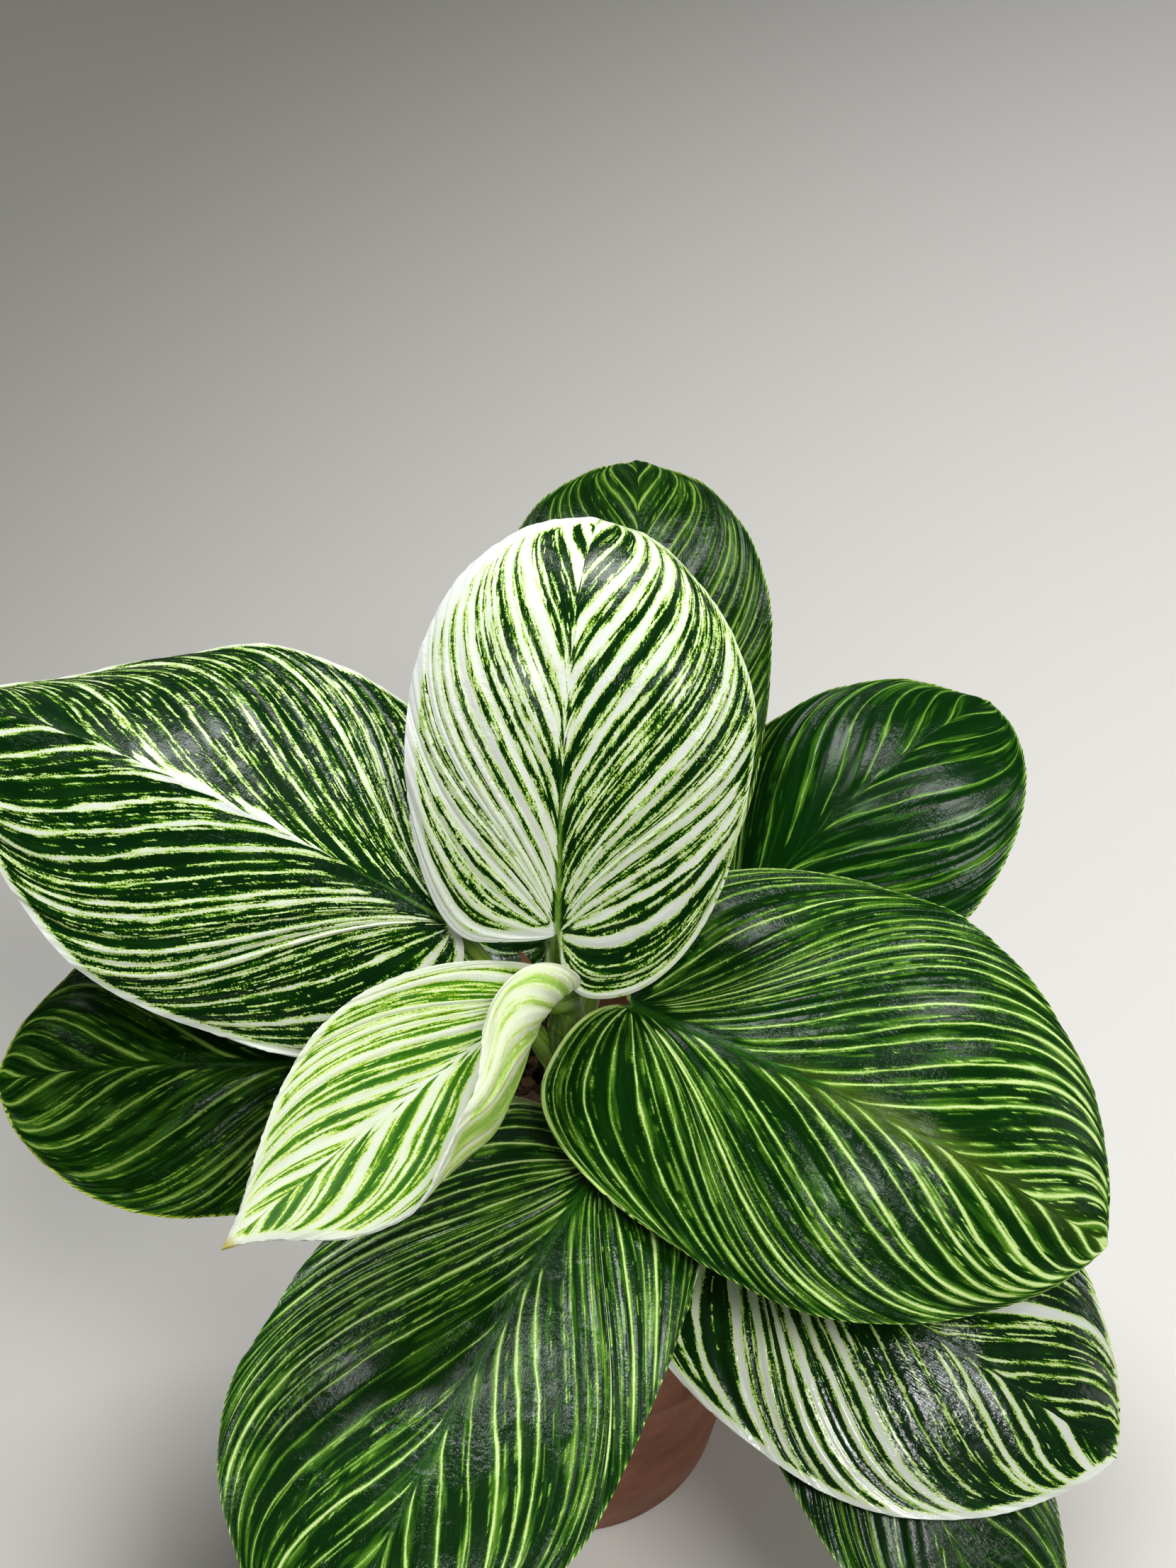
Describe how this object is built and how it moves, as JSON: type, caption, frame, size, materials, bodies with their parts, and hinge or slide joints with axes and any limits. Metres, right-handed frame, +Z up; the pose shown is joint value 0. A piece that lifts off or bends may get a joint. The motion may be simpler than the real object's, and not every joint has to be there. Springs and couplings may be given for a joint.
{
  "type": "potted pinstripe philodendron",
  "caption": "Compact potted foliage plant: heart-shaped glossy dark green leaves with cream and lime pinstripes on stalks from one short stem, in a plain clay pot.",
  "frame": {"origin": "centre of the pot's flat underside, on the floor it stands on", "axes": "+Z up along the pot's axis; -Y is the front, the side the newest leaf and the lowest leaves lean to; +X is to the right seen from the front"},
  "size_m": [0.2807, 0.3033, 0.2824],
  "materials": {
    "leaf_white": "glossy leaf, white and dark green stripes",
    "leaf_green": "glossy leaf, dark green with lime stripes",
    "leaf_pale": "glossy new leaf, mostly cream white",
    "stem_green": "smooth green stem",
    "papery_sheath": "dry papery sheath",
    "potting_mix": "loose bark potting mix",
    "root_mix": "fibrous roots in mix",
    "clay": "unglazed brown clay"
  },
  "bodies": {
    "root": {"leaf_01": "leaf_white", "leaf_02": "leaf_white", "leaf_03": "leaf_green", "leaf_04": "leaf_green", "leaf_05": "leaf_green", "leaf_06": "leaf_green", "leaf_07": "leaf_pale", "leaf_08": "leaf_green", "leaf_09": "leaf_green", "leaf_10": "leaf_green", "leaf_11": "leaf_green", "leaf_12": "leaf_green", "stem": "stem_green", "sheath": "papery_sheath", "soil": "potting_mix", "root_ball": "root_mix", "pot": "clay"}
  },
  "joints": []
}
